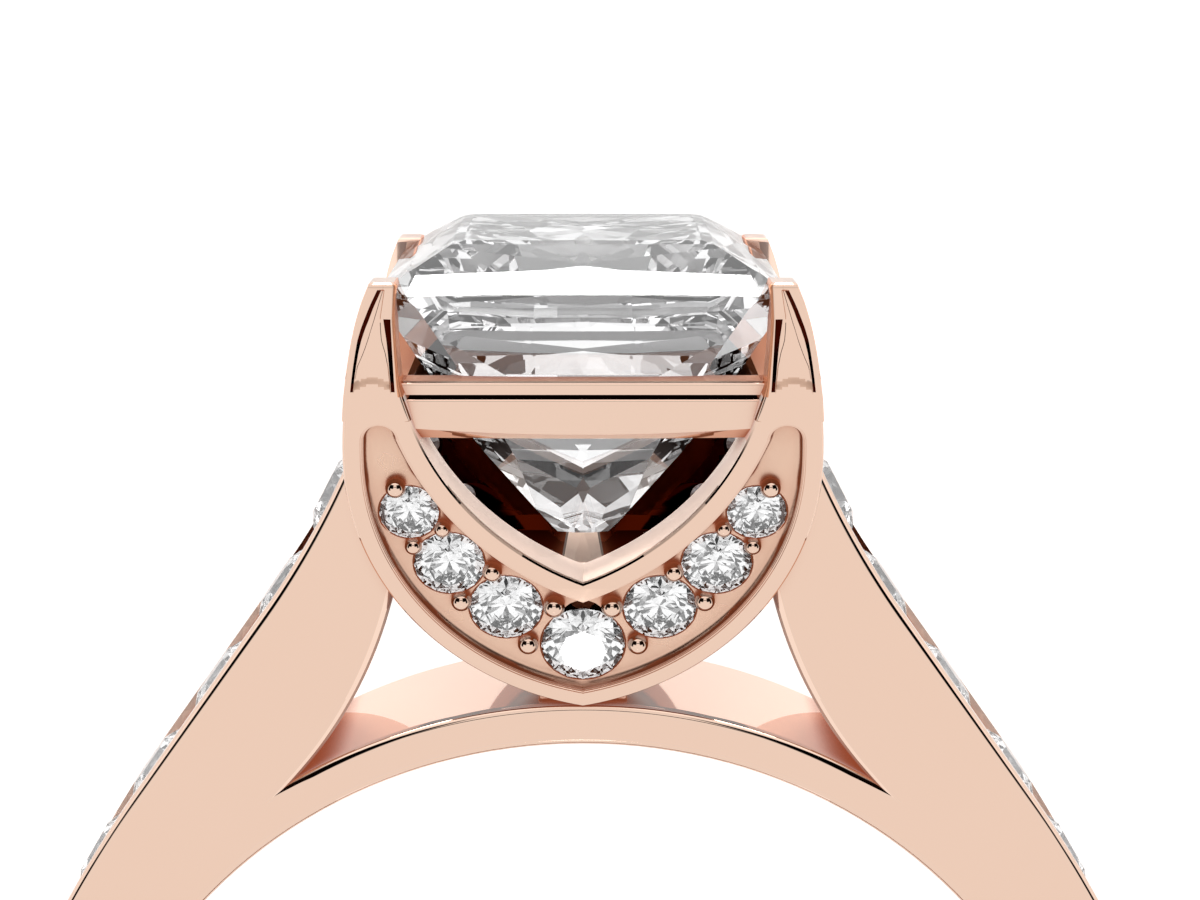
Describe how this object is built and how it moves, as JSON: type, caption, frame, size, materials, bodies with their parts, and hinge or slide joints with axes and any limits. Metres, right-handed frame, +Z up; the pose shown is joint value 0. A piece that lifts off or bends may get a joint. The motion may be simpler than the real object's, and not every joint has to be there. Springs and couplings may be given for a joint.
{
  "type": "diamond engagement ring",
  "caption": "Cathedral engagement ring with a square diamond on four prongs, crescent panels of graduated round diamonds below it and channel rows of round diamonds on the shoulders.",
  "frame": {"origin": "middle of the ring's box, on the surface that the ring lies on", "axes": "+X across the ring from its left shoulder to its right, +Y from the bottom of the band to the large diamond, +Z up from the surface; the finger hole's axis leans 3.8 degrees from +Z"},
  "size_m": [0.0204, 0.027, 0.0064],
  "materials": {
    "rose_gold": "mirror-polished rose gold",
    "large_diamond": "polished facets, colourless",
    "small_diamond": "polished facets, colourless"
  },
  "bodies": {
    "root": {"ring_setting": "rose_gold", "centre_diamond": "large_diamond", "front_diamond_1": "small_diamond", "front_diamond_2": "small_diamond", "front_diamond_3": "small_diamond", "front_diamond_4": "small_diamond", "front_diamond_5": "small_diamond", "front_diamond_6": "small_diamond", "front_diamond_7": "small_diamond", "back_diamond_1": "small_diamond", "back_diamond_2": "small_diamond", "back_diamond_3": "small_diamond", "back_diamond_4": "small_diamond", "back_diamond_5": "small_diamond", "back_diamond_6": "small_diamond", "back_diamond_7": "small_diamond", "left_diamond_1": "small_diamond", "left_diamond_2": "small_diamond", "left_diamond_3": "small_diamond", "left_diamond_4": "small_diamond", "left_diamond_5": "small_diamond", "right_diamond_1": "small_diamond", "right_diamond_2": "small_diamond", "right_diamond_3": "small_diamond", "right_diamond_4": "small_diamond", "right_diamond_5": "small_diamond"}
  },
  "joints": []
}
